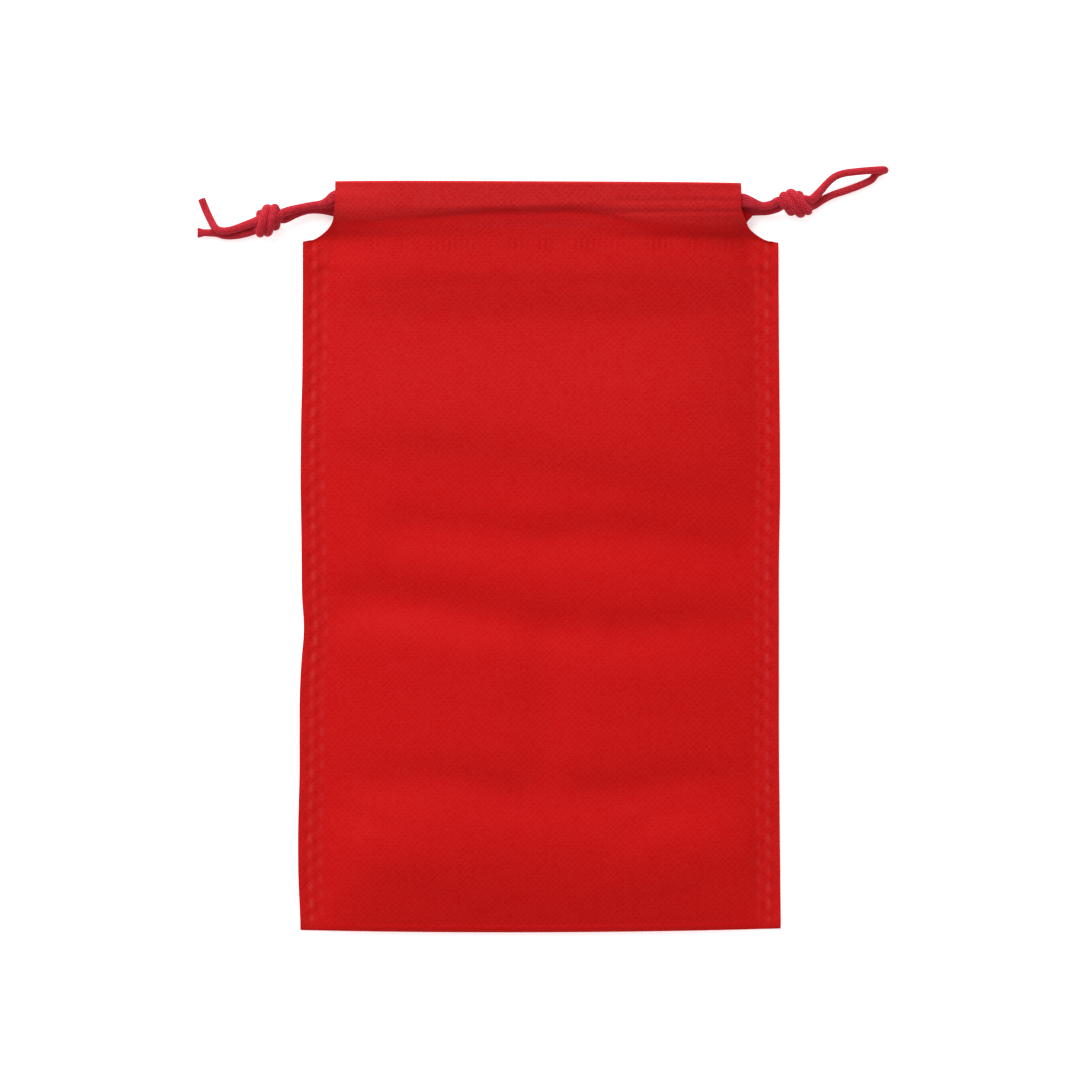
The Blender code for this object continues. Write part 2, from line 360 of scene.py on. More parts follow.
@dataclass(frozen=True)
class FloorFinish:
    """Plain pale floor, lit from below as a light table is."""

    name: str = "pale_floor"
    colour: tuple = (0.94, 0.94, 0.94, 1.0)
    glow: float = 0.44

    def material(self) -> bpy.types.Material:
        """Make the material."""
        shader = Shader(self.name)
        place = shader.node("ShaderNodeTexCoord").outputs["Object"]
        shader.surface(Base_Color=self.colour, Roughness=0.9 - 0.05 * shader.grain(place, 30.0),
                       Specular_IOR_Level=0.0, Emission_Color=self.colour, Emission_Strength=self.glow)
        return shader.material


# ---- the sheet's form


def smooth_step(value: np.ndarray | float, low: float, high: float) -> np.ndarray | float:
    """A smooth step from 0 at low to 1 at high."""
    share = np.clip((value - low) / (high - low), 0.0, 1.0)
    return share * share * (3.0 - 2.0 * share)


def soft_line(route: tuple, place: np.ndarray, softness: float = 5.0) -> np.ndarray:
    """Read a line of points at a place, with its corners rounded off.

    Args:
        route: Points of (place, value), in order.
        place: Where to read.
        softness: Half the length over which a corner is rounded.

    Returns:
        The value at each place.
    """
    known, values = zip(*route)
    offsets = np.linspace(-softness, softness, 7)
    return sum(np.interp(place + offset, known, values) for offset in offsets) / len(offsets)


@dataclass(frozen=True)
class Crease:
    """A soft valley pressed into the cloth along a line.

    above and below are the valley's widths on its two sides: towards the mouth and the fold when
    it runs across the sack, towards the right and the left when it runs along it. weight is a line
    of (place, share of the depth).
    """

    route: tuple
    depth: float
    above: float
    below: float
    fade: float = 14.0
    run: Direction = Direction.ACROSS
    weight: tuple = ((0.0, 1.0), (1.0, 1.0))

    def height(self, x: np.ndarray, y: np.ndarray) -> np.ndarray:
        """How much the crease lowers the cloth at each place."""
        place, side = (x, y) if self.run is Direction.ACROSS else (y, x)
        offset = side - soft_line(self.route, place)
        width = np.where(offset > 0, self.above, self.below)
        first, last = self.route[0][0], self.route[-1][0]
        ends = smooth_step(place, first - self.fade, first)
        ends = ends * (1 - smooth_step(place, last, last + self.fade))
        depth = self.depth * soft_line(self.weight, place)
        return -depth * ends * np.exp(-((offset / width) ** 2))


@dataclass(frozen=True)
class Terrace:
    """A soft step down in the cloth, lower on the side of the bottom fold."""

    route: tuple
    drop: float
    width: float
    relief: float = 40.0

    def height(self, x: np.ndarray, y: np.ndarray) -> np.ndarray:
        """How much the step changes the cloth's height at each place."""
        offset = y - soft_line(self.route, x)
        rise = np.tanh(offset / self.width) * np.exp(-((offset / self.relief) ** 2))
        return 0.5 * self.drop * rise


BODY_CREASES = (
    Crease(((-70, 75.5), (-19, 74), (19, 74.5), (67, 77)), 1.35, 8.5, 22.0),
    Crease(((-42, 9), (-16, 7.5), (0, 5), (12, 7), (30, 6.5), (48, 3.5), (68, 1)),
           1.45, 7.0, 9.0),
    Crease(((-72, -16), (-52, -14), (-37, -15.5), (-24, -18), (8, -22)),
           2.5, 8.5, 7.5, 22.0, weight=((-70, 1), (-20, 0.85), (10, 0.5))),
    Crease(((26, -24), (40, -23), (52, -21.5), (74, -23.5)), 1.5, 7.0, 9.0, 20.0),
    Crease(((-67, -73), (-45, -71), (-30, -71), (-14, -76), (-4, -78), (12, -76.5),
            (32, -75), (50, -72), (72, -71.5)), 1.6, 7.5, 9.0,
           weight=((-60, 0.4), (-35, 0.55), (-14, 0.9), (40, 1), (70, 0.6))),
    Crease(((-72, -79), (-50, -86)), 0.40, 3.5, 5.0, 8.0),
    Crease(((28, -89), (40, -82), (58, -81), (70, -85)), 0.50, 4.5, 6.0, 10.0),
    Crease(((-66, 2), (-26, 3.5)), 1.35, 8.0, 10.0, 14.0, Direction.ALONG),
)
BODY_TERRACES = (
    Terrace(((-64, 35.5), (-40, 36.5), (-16, 34.5), (12, 30), (40, 25), (72, 21)),
            2.0, 7.0, 30.0),
    Terrace(((-74, -99), (-48, -100.5), (-20, -112), (20, -113), (42, -106),
             (56, -98), (74, -99)), 0.9, 7.5, 18.0),
)


@dataclass
class SheetForm:
    """The outer face of the folded sheet, in millimetres, for every place on it.

    The edges are lines of (y, distance from the middle), and the casing's valley and crest are
    lines of (x, y). The notches' sizes are given for the left side, -1, and the right, 1.
    """

    ply: float = 0.42
    rest: float = 0.06
    fullness: float = 0.8
    foot_height: float = 1.7
    arch_power: float = 2.5
    flap_y: float = 92.0
    shoulder_y: float = 100.8
    hem_y: float = 101.4
    tip_y: float = 108.2
    lip_radius: float = 0.8
    foot_length: float = 38.0
    valley_share: float = 0.50
    valley_pinch: float = 0.32
    tick_pitch: float = 1.92
    dash_pitch: float = 5.25
    left_edge: tuple = (
        (-120, 76.7), (-103, 77.5), (-88, 77.6), (-70, 77.1), (-45, 77.1), (-33, 76.5), (-23, 75.5),
        (-12, 76.4), (0, 76.4), (25, 76.8), (45, 76.6), (58, 76.2), (101, 76),
    )
    right_edge: tuple = (
        (-120, 77.2), (-60, 76.6), (0, 76.6), (20, 77), (40, 76.9), (70, 76.6), (101, 76.4),
    )
    valley: tuple = (
        (-66, 107.1), (-58.6, 106.5), (-52, 107), (-45.8, 107.6), (-37, 108), (-28.6, 108.7),
        (-20, 109.5), (-11.5, 109.8), (0, 109.8), (8.6, 110.3), (15, 109.8), (21.4, 108.7),
        (25.7, 107.6), (32, 106.3), (38.6, 105.6), (47, 105), (55.7, 104.4), (60, 104.4), (66, 105.4),
    )
    crest: tuple = (
        (-66, 111.6), (-42, 111.8), (-34, 111.2), (-20, 111.3), (0, 111.9), (12, 112.2), (24, 112.3),
        (40, 112.8), (66, 112.9),
    )
    pleats: tuple = ((109.6, 0.30), (113.3, 0.22))
    notch_tip: dict = field(default_factory=lambda: {-1: (66.2, 108.2), 1: (66.4, 106.2)})
    notch_reach: dict = field(default_factory=lambda: {-1: 8.2, 1: 8.5})
    notch_power: dict = field(default_factory=lambda: {-1: 1.58, 1: 1.5})
    header_taper: dict = field(default_factory=lambda: {-1: 0.7, 1: 2.1})

    def __post_init__(self) -> None:
        """Take the sack's sizes from its solids."""
        casing_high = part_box("front_casing")[1] / MM
        self.mouth_y = casing_high.y
        self.casing_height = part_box("back_casing")[1].z / MM
        self.under_z = casing_high.z - self.casing_height
        self.bottom_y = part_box("bottom_fold")[0].y / MM
        self.hinge_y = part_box("front_panel")[0].y / MM
        self.lip_y = self.mouth_y - self.lip_radius

    def edge(self, y: np.ndarray, side: int) -> np.ndarray:
        """Distance of one side edge from the middle.

        Args:
            y: Places along the sack.
            side: -1 for the left edge and 1 for the right.

        Returns:
            The distance at each place.
        """
        tip_x, tip_y = self.notch_tip[side]
        body = soft_line(self.left_edge if side < 0 else self.right_edge, y, 4.0)
        drop = np.clip((tip_y - y) / (tip_y - self.shoulder_y), 0.0, 1.0)
        power = self.notch_power[side]
        arc = tip_x + self.notch_reach[side] * (1.0 - (1.0 - drop ** power) ** (1.0 / power))
        taper = tip_x - self.header_taper[side] * smooth_step(y, tip_y - 1.0, tip_y + 6.0)
        return np.where(y <= self.shoulder_y - 1e-9, body, np.where(y < tip_y, arc, taper))

    def arch(self, x: np.ndarray, y: np.ndarray) -> np.ndarray:
        """The share of the front's rise at a place: 1 in the middle and 0 at the side welds."""
        half = FREE_HALF - 4.5 * smooth_step(y, 82.0, 103.0)
        near_fold = 1 - smooth_step(y, -112.0, -70.0)
        power = self.arch_power + 4.5 * near_fold + 2.0 * smooth_step(y, 0.0, 104.0)
        return 1.0 - np.clip(np.abs(x) / half, 0.0, 1.0) ** power

    def stack(self, y: np.ndarray) -> np.ndarray:
        """Height of the back's top face, which the front rests on beside the mouth."""
        flap = self.ply * smooth_step(y, self.flap_y - 1.6, self.flap_y + 1.6)
        casing = smooth_step(y, self.hem_y - 1.5, self.hem_y + 10.0)
        casing = (self.casing_height - 2 * self.ply) * casing
        lip = 1.1 * smooth_step(y, self.lip_y - 5.0, self.lip_y)
        return self.ply + flap + casing - lip + self.rest

    def under(self, x: np.ndarray, y: np.ndarray) -> np.ndarray:
        """Height of the front's lower face."""
        foot = 1.0 - np.clip((y - self.bottom_y) / self.foot_length, 0.0, 1.0)
        rise = self.fullness * self.under_z - self.foot_height
        middle = self.foot_height + rise * (1.0 - foot ** 2.2)
        middle = middle + 0.14 * self.under_z * smooth_step(y, 70.0, 108.0)
        side = self.stack(y)
        return side + (middle - side) * self.arch(x, y)

    def casing(self, x: np.ndarray, y: np.ndarray) -> np.ndarray:
        """Thickness of the casing: a hem, a valley, a ridge over the cord, and pleats at the right."""
        hem = 2 * self.ply + self.rest
        valley, crest = soft_line(self.valley, x, 3.0), soft_line(self.crest, x, 4.0)
        full = self.casing_height - hem - 0.25
        below = smooth_step((y - self.hem_y) / (valley - self.hem_y), 0.0, 1.05)
        rise = smooth_step((y - valley) / (crest + 0.8 - valley), -0.12, 1.0)
        after = np.clip((y - crest) / (self.lip_y - crest), 0.0, 1.0)
        share = self.valley_share * below + (1 - self.valley_share) * rise
        height = hem + full * share + 0.40 * after
        pinch = (y - valley) / np.where(y > valley, 0.9, 2.2)
        height = height - self.valley_pinch * np.exp(-(pinch ** 2))
        pleated = smooth_step(x, 14.0, 30.0)
        for line, depth in self.pleats:
            height = height - depth * pleated * np.exp(-(((y - line - 0.012 * x) / 0.8) ** 2))
        middle = np.exp(-((x / 22.0) ** 2)) * np.exp(-(((y - 106.0) / 1.6) ** 2))
        return height - 0.22 * middle

    def wrinkles(self, x: np.ndarray, y: np.ndarray) -> np.ndarray:
        """Creases, soft steps and gentle unevenness of the front."""
        total = sum(mark.height(x, y) for mark in BODY_CREASES + BODY_TERRACES)
        places = list(zip(x.ravel(), y.ravel()))
        slow = [noise.fractal(Vector((a * 0.022, b * 0.045, 3.0)), 1.0, 2.0, 2) for a, b in places]
        quick = [noise.noise(Vector((a * 0.16, b * 0.20, 8.0))) for a, b in places]
        return total + 0.30 * np.reshape(slow, x.shape) + 0.04 * np.reshape(quick, x.shape)

    def inset(self, x: np.ndarray, y: np.ndarray) -> np.ndarray:
        """Distance in from the nearer side edge."""
        return np.where(x < 0, self.edge(y, -1), self.edge(y, 1)) - np.abs(x)

    def dashes(self, y: np.ndarray, inset: np.ndarray, line: float, phase: float) -> np.ndarray:
        """One row of a side weld's dashes, from 0 to 1.

        Args:
            y: Places along the sack.
            inset: Distance in from the side edge.
            line: The row's distance in from the side edge.
            phase: The row's shift, as a share of the dashes' pitch.

        Returns:
            The mark at each place.
        """
        beat = np.cos(math.tau * (y / self.dash_pitch + phase))
        uneven = 0.84 + 0.28 * np.sin(0.23 * y + 2.1 * np.sin(0.071 * y) + line)
        row = uneven * np.exp(-(((inset - line) / 0.60) ** 2))
        ends = (y < self.shoulder_y) * (y > self.bottom_y + 3.0)
        return row * smooth_step(beat, -0.35, 0.45) * ends

    def glints(self, y: np.ndarray, inset: np.ndarray) -> np.ndarray:
        """The side welds' pale rows, each beside a dark one: painted highlights on the dashes' edges."""
        return self.dashes(y, inset, 3.8, 0.15) + 0.6 * self.dashes(y, inset, 7.2, 0.65)

    def weld_marks(self, x: np.ndarray, y: np.ndarray, inset: np.ndarray) -> np.ndarray:
        """The side welds' dark rows and the hem weld's ticks.

        Args:
            x: Places across the sack.
            y: Places along it.
            inset: Distance in from the nearer side edge.

        Returns:
            The mark at each place, from 0 to 1.
        """
        beat = np.cos(math.tau * x / self.tick_pitch)
        band = smooth_step(y, 96.9, 98.2) * (1 - smooth_step(y, 101.0, 102.3))
        band = band * (1 - smooth_step(np.abs(x), 61, 63))
        band = band * (0.62 + 0.38 * np.sin(0.41 * x + 1.9 * np.sin(0.13 * x)))
        rows = self.dashes(y, inset, 2.6, 0.0) + self.dashes(y, inset, 5.5, 0.5)
        return rows + band * smooth_step(beat, -0.3, 0.8)

    def lower(self, x: np.ndarray, y: np.ndarray) -> np.ndarray:
        """Height of the front's lower face with its creases."""
        free = 1.0 - np.clip(np.abs(x) / 73.5, 0.0, 1.0) ** 6
        free = free * smooth_step(y, self.bottom_y + 1.0, self.bottom_y + 16.0)
        free = free * (1.0 - 0.75 * smooth_step(y, 96.0, 104.0))
        rest = self.stack(y)
        rise = self.under(x, y) - rest + free * self.wrinkles(x, y)
        return rest + 0.5 * (rise + np.sqrt(rise * rise + 0.05))

    def front(self, x: np.ndarray, y: np.ndarray) -> np.ndarray:
        """Height of the front's outer face."""
        inset = self.inset(x, y)
        flap = y - 1.1 * np.cos(0.05 * x)
        panel = self.ply + self.ply * smooth_step(flap, self.flap_y - 6.5, self.flap_y - 0.5)
        thickness = np.where(y > self.hem_y, self.casing(x, y), panel + self.rest)
        curl = 0.35 * (1 - smooth_step(inset, 0.0, 3.0)) * np.sin(0.16 * y + 0.02 * x) ** 2
        pressed = 0.25 * self.weld_marks(x, y, inset)
        return np.maximum(self.lower(x, y) + thickness + curl - pressed, 2 * self.ply)


# ---- the sheet's pieces


@dataclass(frozen=True)
class Row:
    """One row of the sheet, across the sack: where it lies, how high, and its share of a turn."""

    y: float
    height: float | Face
    share: float = 0.0


@dataclass
class FoldedSheet:
    """The sack's one sheet, from the back flap, round the bottom fold, to the front flap."""

    form: SheetForm
    finish: bpy.types.Material
    column_step: float = 0.64
    edge_step: float = 0.40
    row_step: float = 0.9
    whole: float = 76.2
    dense_from: float = 67.5
    fixed_to: float = 57.0
    corner: float = 2.9
    flat_width: float = 0.1524
    # Strengths of the paler veil: painted sheen on the side margins and the upper panel, and doubled
    # plies with painted sheen on the casing.
    margin_sheen: float = 0.15
    panel_sheen: float = 0.18
    casing_plies_and_sheen: float = 0.54
    # Painted shade along the casing's valley: how far it darkens the weld mark, and how much of the
    # paler veil it clears there.
    valley_shade_strength: float = 0.9
    valley_shade_clear: float = 0.6

    def columns(self) -> np.ndarray:
        """Distances from the middle at which the sheet has points, before its edges are shaped."""
        inner = np.arange(0.0, self.dense_from, self.column_step)
        count = round((self.whole - self.dense_from) / self.edge_step)
        return np.concatenate([inner, np.linspace(self.dense_from, self.whole, count)])

    def notch_places(self) -> np.ndarray:
        """Places along the sack that follow the notches' arcs, from the shoulder to the tips."""
        turn = np.radians(np.linspace(0, 90, 18))
        return self.form.shoulder_y + (self.form.tip_y - self.form.shoulder_y) * (1 - np.cos(turn))

    def back_rows(self) -> list:
        """Rows of the back: flap, casing, flat back and most of the bottom fold."""
        form = self.form
        rows = [Row(y, Face.STACK) for y in np.arange(form.flap_y, form.lip_y, 0.75)]
        lip_top = form.stack(form.lip_y) - form.rest
        rows += self.turn_over(form.lip_y, lip_top, 8)
        rows += [Row(y, 0.0) for y in np.linspace(form.lip_y - 1.5, 109.0, 4)]
        rows += [Row(y, 0.0) for y in self.notch_places()[::-1]]
        rows += [Row(y, 0.0) for y in np.linspace(form.shoulder_y - 0.12, form.bottom_y + 6.0, 64)]
        rows += [Row(form.hinge_y, Face.FOLD, share) for share in np.linspace(0.0, 1.0, 13)]
        return rows

    def front_rows(self) -> list:
        """Rows of the front: panel, casing, lip, inner ply and flap."""
        form = self.form
        count = round((form.shoulder_y - form.hinge_y) / self.row_step)
        rows = [Row(y, Face.FRONT) for y in np.linspace(form.hinge_y, form.shoulder_y - 0.12, count)]
        rows += [Row(y, Face.FRONT) for y in self.notch_places()]
        rows += [Row(y, Face.FRONT) for y in np.arange(108.6, form.lip_y, 0.4)]
        rows += [Row(form.lip_y, Face.LIP, share) for share in np.linspace(0.0, 1.0, 9)]
        rows += [Row(y, Face.UNDER) for y in np.arange(form.lip_y - 0.8, form.flap_y, -self.row_step)]
        return rows

    def turn_over(self, y: float, high: float, steps: int) -> list:
        """Rows over the back's top fold, from its upper side down to the floor.

        Args:
            y: The fold's centre along the sack.
            high: Height of the fold's upper side.
            steps: Number of steps.

        Returns:
            The rows.
        """
        radius = self.form.lip_radius
        return [Row(y + math.cos(angle) * radius, (1 + math.sin(angle)) * high / 2)
                for angle in np.linspace(math.pi / 2, -math.pi / 2, steps)]

    def place(self, row: Row, columns: np.ndarray) -> np.ndarray:
        """Points of one row.

        Columns near the middle keep their distance, and the others share what the edge leaves.

        Args:
            row: The row.
            columns: Distances from the middle, negative to the left.

        Returns:
            An array of points in millimetres.
        """
        form = self.form
        y = np.full_like(columns, row.y)
        edge = np.where(columns < 0, form.edge(y, -1), form.edge(y, 1))
        outer = np.clip(np.abs(columns) - self.fixed_to, 0.0, None) / (self.whole - self.fixed_to)
        x = np.minimum(np.abs(columns), self.fixed_to) + outer * (edge - self.fixed_to)
        if row.height is Face.STACK or not isinstance(row.height, Face):
            x = x + (columns > 0) * outer * self.corner * np.exp(-(((y - 109.4) / 1.5) ** 2))
        x = np.where(columns < 0, -x, x)
        if row.height is Face.STACK:
            z = form.stack(y) - form.rest
        elif row.height is Face.FRONT:
            z = form.front(x, y)
        elif row.height is Face.UNDER:
            z = form.lower(x, y)
        elif row.height is Face.FOLD:
            radius = form.front(x, y) / 2
            angle = math.pi * (row.share - 0.5)
            y = y - (form.hinge_y - form.bottom_y) * math.cos(angle)
            z = radius * (1 + math.sin(angle))
        elif row.height is Face.LIP:
            top, bottom = form.front(x, y), form.lower(x, y)
            angle = math.pi * (0.5 - row.share)
            y = y + form.lip_radius * math.cos(angle)
            z = (top + bottom) / 2 + (top - bottom) / 2 * math.sin(angle)
        else:
            z = np.full_like(columns, row.height)
        near_fold = 1 - smooth_step(y, form.bottom_y, form.bottom_y + 20.0)
        bow = 0.9 * (x / 76.0) ** 2 - 0.3 + 0.25 * x / 76.0
        tilt = -0.3 * x / 66.0 * smooth_step(y, form.tip_y, form.mouth_y)
        lift = np.exp(-(((y - form.shoulder_y) / 4.0) ** 2))
        tilt = tilt + 0.38 * smooth_step(-x, 60.0, 70.0) * lift
        return np.stack([x, y + bow * near_fold + tilt, z], axis=1)

    def build(self, name: str, rows: list, columns: np.ndarray) -> bpy.types.Object:
        """One piece of the sheet.

        Args:
            name: The piece's name.
            rows: Its rows, in order along the sheet.
            columns: Its columns, from left to right.

        Returns:
            The piece, with its thickness.
        """
        bm = bmesh.new()
        bmesh.ops.create_grid(bm, x_segments=len(columns) - 1, y_segments=len(rows) - 1, size=1.0)
        points = np.array([self.place(row, columns) for row in rows])
        marks = self.marks(rows, points)
        middle = int(np.abs(columns).argmin())
        steps = np.linalg.norm(np.diff(points[:, middle], axis=0), axis=1)
        along = np.concatenate([[0.0], np.cumsum(steps)])
        cloth = bm.loops.layers.uv.new("cloth")
        layers = [bm.verts.layers.float.new(label) for label in ("weld", "plies_and_sheen", "glint")]
        index = {}
        for vert in bm.verts:
            column = round((vert.co.x + 1) / 2 * (len(columns) - 1))
            row = round((vert.co.y + 1) / 2 * (len(rows) - 1))
            index[vert] = (points[row, column, 0] * MM, along[row] * MM)
            for layer, mark in zip(layers, marks):
                vert[layer] = mark[row, column]
            vert.co = Vector(points[row, column]) * MM
        for face in bm.faces:
            for loop in face.loops:
                loop[cloth].uv = index[loop.vert]
        obj = new_object(name, bm)
        shell = obj.modifiers.new("ply", "SOLIDIFY")
        shell.thickness = self.form.ply * MM
        shell.offset = -1.0
        finish_mesh(obj, self.finish)
        return obj

    def marks(self, rows: list, points: np.ndarray) -> tuple:
        """How strongly each point carries weld marks and painted valley shade, a veil of plies and
        painted sheen, and painted highlights.

        Args:
            rows: The piece's rows.
            points: Its points.

        Returns:
            Three arrays, one number to a point: weld marks with painted valley shade,
            the plies' veil with painted sheen, and painted highlights.
        """
        form = self.form
        x, y = points[..., 0], points[..., 1]
        outer = np.array([row.height in (Face.FRONT, Face.LIP, Face.FOLD) for row in rows])[:, None]
        inset = form.inset(x, y)
        # Painted shade along the casing's valley, put into the weld mark as a darker red and clearing
        # the paler veil.
        valley_shade = np.exp(-(((y - soft_line(form.valley, x, 3.0) + 0.6) / 2.0) ** 2))
        weld = np.maximum(form.weld_marks(x, y, inset), self.valley_shade_strength * valley_shade) * outer
        margin = (1 - smooth_step(inset, 4.5, 8.5)) * (y < form.shoulder_y)
        header = smooth_step(y, form.hem_y + 1.0, form.hem_y + 9.0)
        # Painted sheen that makes the panel paler towards the mouth, and the casing's veil of doubled
        # plies with painted sheen.
        upper = self.panel_sheen * smooth_step(y, 10.0, 60.0) + self.casing_plies_and_sheen * header
        plies_and_sheen = np.maximum(self.margin_sheen * margin, upper) * (1 - self.valley_shade_clear * valley_shade)
        return weld, plies_and_sheen * outer, form.glints(y, inset) * outer

    def make(self) -> None:
        """Build the back and the two halves of the front, and let the back ride on its body."""
        form = self.form
        places = self.columns()
        back = self.build("back_sheet", self.back_rows(), np.concatenate([-places[:0:-1], places]))
        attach(back, Body.BACK.value)
        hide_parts("back_panel", "bottom_fold", "left_side_weld", "right_side_weld",
                    "back_casing", "back_hem_weld")
        self.length(self.back_rows())
        LOG.info("%s: %d faces", back.name, len(back.data.polygons))
        front_rows = self.front_rows()
        length = self.length(front_rows)
        for name, side in (("front_sheet_left", -1), ("front_sheet_right", 1)):
            half = self.build(name, front_rows, -places[::-1] if side < 0 else places)
            follow_front(half)
            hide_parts("front_panel", "front_casing", "front_hem_weld")
            self.flat_width / 2
            LOG.info("%s: %d faces", half.name, len(half.data.polygons))

    def length(self, rows: list) -> float:
        """Length of the sheet along its middle over some rows, in metres."""
        points = np.array([self.place(row, np.array([0.01]))[0] for row in rows])
        return float(np.linalg.norm(np.diff(points, axis=0), axis=1).sum()) * MM


def new_object(name: str, bm: bmesh.types.BMesh) -> bpy.types.Object:
    """Put a finished bmesh into a new object in the scene, and free it."""
    mesh = bpy.data.meshes.new(name)
    bm.to_mesh(mesh)
    bm.free()
    obj = bpy.data.objects.new(name, mesh)
    bpy.context.scene.collection.objects.link(obj)
    return obj


def follow_front(half: bpy.types.Object) -> None:
    """Bake one half of a piece's placement into its mesh."""
    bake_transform(half)


def finish_mesh(obj: bpy.types.Object, material: bpy.types.Material, sharp: float = 50.0) -> None:
    """Apply a piece's modifiers, smooth it and give it its material.

    Args:
        obj: The piece.
        material: Its finish.
        sharp: The angle in degrees past which an edge stays sharp.
    """
    bpy.context.view_layer.update()
    evaluated = obj.evaluated_get(bpy.context.evaluated_depsgraph_get())
    mesh = bpy.data.meshes.new_from_object(evaluated)
    obj.modifiers.clear()
    obj.data = mesh
    mesh.name = obj.name
    mesh.materials.clear()
    mesh.materials.append(material)
    mesh.shade_smooth()
    mesh.set_sharp_from_angle(angle=math.radians(sharp))


# ---- the cord


def rounded_route(points: list, step: float) -> list:
    """Evenly spaced points on a Catmull-Rom curve through a route's own points.

    Args:
        points: The route's points.
        step: About how far apart the new points lie.

    Returns:
        The new points.
    """
    points = [Vector(point) for point in points]
    ends = [2 * points[0] - points[1]] + points + [2 * points[-1] - points[-2]]
    fine = []
    for before, start, end, after in zip(ends, ends[1:], ends[2:], ends[3:]):
        for t in np.linspace(0.0, 1.0, 16, endpoint=False):
            fine.append(0.5 * (2 * start + (end - before) * t
                               + (2 * before - 5 * start + 4 * end - after) * t ** 2
                               + (3 * start - before - 3 * end + after) * t ** 3))
    fine = np.array([*fine, points[-1]])
    lengths = np.concatenate([[0.0], np.cumsum(np.linalg.norm(np.diff(fine, axis=0), axis=1))])
    wanted = np.linspace(0.0, lengths[-1], max(2, round(lengths[-1] / step)) + 1)
    return [Vector([np.interp(place, lengths, fine[:, axis]) for axis in range(3)]) for place in wanted]


@dataclass
class CordTube:
    """Makes braided tubes along routes, in millimetres."""

    finish: bpy.types.Material
    diameter: float = 2.4
    sides: int = 28
    step: float = 0.32
    joined_within: float = 0.01
    cap_insets: tuple = (0.25, 0.35)
    cap_rise: float = 0.10

    def build(self, name: str, route: list, swell: Callable | None = None) -> tuple:
        """A closed tube along a route.

        Args:
            name: The piece's name.
            route: Its points.
            swell: Gives a factor of the radius from the distances to the tube's start and end, the
                ring's place, and how far up the point looks from the ring's centre, from -1 to 1.

        Returns:
            The piece, and the points that its rings are centred on, in metres.
        """
        path = rounded_route(route, self.step)
        tangents = [(after - before).normalized() for before, after in
                    zip([path[0]] + path[:-1], path[1:] + [path[-1]])]
        normal = tangents[0].orthogonal().normalized()
        frames = []
        for tangent in tangents:
            normal = (normal - tangent * normal.dot(tangent)).normalized()
            frames.append((normal.copy(), tangent.cross(normal)))
        spacing = (path[1] - path[0]).length
        bm = bmesh.new()
        bmesh.ops.create_grid(bm, x_segments=len(path) - 1, y_segments=self.sides, size=1.0)
        cord = bm.loops.layers.uv.new("cord")
        index = {}
        for vert in bm.verts:
            ring = round((vert.co.x + 1) / 2 * (len(path) - 1))
            share = round((vert.co.y + 1) / 2 * self.sides) / self.sides
            angle = math.tau * share
            along, left = ring * spacing, (len(path) - 1 - ring) * spacing
            normal, binormal = frames[ring]
            look = normal * math.cos(angle) + binormal * math.sin(angle)
            radius = self.diameter / 2
            if swell:
                radius *= swell(along, left, path[ring], look.z)
            vert.co = (path[ring] + look * radius) * MM
            index[vert] = (share, along * MM)
        for face in bm.faces:
            for loop in face.loops:
                loop[cord].uv = index[loop.vert]
        bmesh.ops.remove_doubles(bm, verts=bm.verts, dist=self.joined_within * MM)
        rims = [edge for edge in bm.edges if edge.is_boundary]
        caps = bmesh.ops.holes_fill(bm, edges=rims, sides=0)["faces"]
        for inset in self.cap_insets:
            bmesh.ops.inset_region(bm, faces=caps, thickness=inset * MM, depth=self.cap_rise * MM)
        bmesh.ops.recalc_face_normals(bm, faces=bm.faces)
        obj = new_object(name, bm)
        finish_mesh(obj, self.finish, 60.0)
        return obj, [point * MM for point in path]


@dataclass
class DoubledKnot:
    """An overhand knot tied in two strands together, pulled tight.

    Both strands go in through the middle, turn back, wrap once round and leave through the middle.
    """

    centre: tuple
    axis: tuple
    core: float = 1.05
    wrap_radius: float = 3.2
    reach: float = 2.9
    lead: float = 6.2
    turn: float = 300.0
    lean: float = 0.0
    start_angle: float = 150.0
    hand: int = 1

    def strand(self, turn: float) -> list:
        """Points of one strand through the knot.

        Args:
            turn: Degrees that the strand is turned about the knot's axis, 0 or 180.

        Returns:
            The points, from the side that the cord comes in at.
        """
        axis = Vector(self.axis).normalized()
        up = Vector((0.0, 0.0, 1.0))
        side = up.cross(axis).normalized()
        up = axis.cross(side)
        side = side * self.hand
        around = math.radians(turn)

        def at(along: float, radius: float, angle: float) -> Vector:
            angle += around
            wobble = 1.0 + 0.05 * math.sin(2 * angle + 0.8)
            lean = self.lean * math.cos(angle) * radius / self.wrap_radius
            spread = (side * math.cos(angle) + up * math.sin(angle)) * radius * wobble
            return Vector(self.centre) + axis * (along + lean) + spread

        slot_in, slot_out = math.radians(135), math.radians(45)
        core = self.core * math.sqrt(2)
        points = [at(-self.reach + 0.2, core, slot_in), at(0.0, core, slot_in),
                  at(self.reach - 0.8, core * 1.15, slot_in)]
        for angle in np.radians(np.linspace(0, self.turn, 8)):
            along = self.reach - 0.2 - self.lead * angle / math.tau
            radius = self.wrap_radius * (1.0 - 0.16 * (angle / math.radians(self.turn)) ** 4)
            points.append(at(along, radius, math.radians(self.start_angle) - angle))
        points += [at(-self.reach + 0.1, core * 1.5, math.radians(80)), at(-0.6, core, slot_out),
                   at(self.reach - 0.2, core, slot_out)]
        return points


